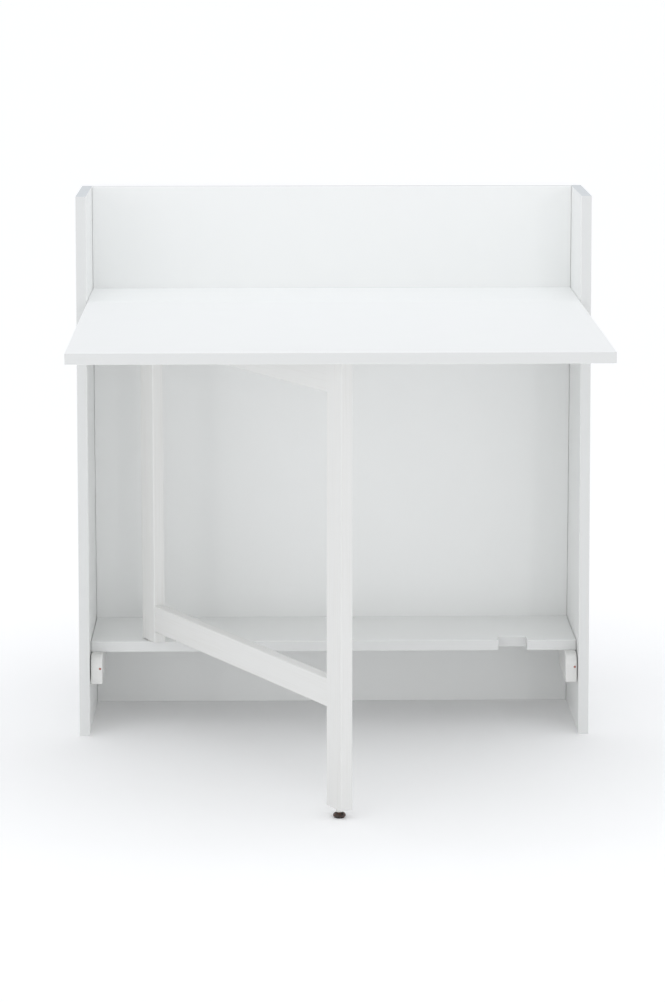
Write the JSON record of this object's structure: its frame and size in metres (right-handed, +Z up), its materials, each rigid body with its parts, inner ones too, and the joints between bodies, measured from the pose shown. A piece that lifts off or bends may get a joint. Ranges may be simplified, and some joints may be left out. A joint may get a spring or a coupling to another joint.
{
  "type": "secretary desk",
  "caption": "White wall-standing gate-leg secretary desk: shallow tapered case with a low shelf, a hinged drop leaf and a swinging gate leg on a levelling foot.",
  "frame": {"origin": "on the floor, under the middle of the desk's outline seen from above with the leaf up", "axes": "+Z up; +Y towards the wall behind the desk, so the front faces -Y; +X to the right of a person facing the desk"},
  "size_m": [0.88, 0.789, 0.93],
  "materials": {
    "white_board": "smooth white lacquered board, satin",
    "white_wood": "white lacquered solid wood, satin",
    "hinge_steel": "zinc-plated",
    "screw_steel": "zinc-plated",
    "beech_dowel": "raw fluted beech",
    "red_brown_plug": "moulded",
    "bush_nylon": "moulded",
    "collar_nylon": "moulded, light",
    "pin_steel": "ground",
    "brown_glide": "moulded, dark brown"
  },
  "bodies": {
    "case": {"left_side_panel": "white_board", "right_side_panel": "white_board", "back_panel": "white_board", "fixed_top": "white_board", "lower_shelf": "white_board", "case_dowels": "beech_dowel", "left_support_block": "white_wood", "right_support_block": "white_wood", "block_plugs": "red_brown_plug", "block_screws": "screw_steel", "left_hinge_fixed_wing": "hinge_steel", "centre_hinge_fixed_wing": "hinge_steel", "right_hinge_fixed_wing": "hinge_steel", "hinge_pins": "pin_steel", "hinge_top_screws": "screw_steel", "lower_pivot_bush": "bush_nylon", "upper_pivot_bush": "bush_nylon"},
    "leaf": {"drop_leaf": "white_board", "left_hinge_leaf_wing": "hinge_steel", "centre_hinge_leaf_wing": "hinge_steel", "right_hinge_leaf_wing": "hinge_steel", "hinge_leaf_screws": "screw_steel", "gate_stop": "white_wood", "gate_stop_screws": "screw_steel"},
    "gate": {"hinge_post": "white_wood", "front_leg": "white_wood", "upper_rail": "white_wood", "lower_rail": "white_wood", "rail_dowels": "beech_dowel", "lower_pivot_pin": "pin_steel", "upper_pivot_pin": "pin_steel", "leg_insert": "collar_nylon"},
    "foot": {"foot_stem": "pin_steel", "foot_glide": "brown_glide"}
  },
  "joints": [
    {"name": "leaf_lift", "type": "hinge", "parent": "case", "child": "leaf", "pos_m": [0, 0.196, 0.7293], "axis": [1, 0, 0], "range_deg": [-2, 0]},
    {"name": "gate_swing", "type": "hinge", "parent": "case", "child": "gate", "pos_m": [-0.313, 0.2085, 0], "axis": [0, 0, 1], "range_deg": [0, 60]},
    {"name": "foot_height", "type": "slide", "parent": "gate", "child": "foot", "axis": [0, 0, 1], "range_m": [-0.008, 0]}
  ]
}
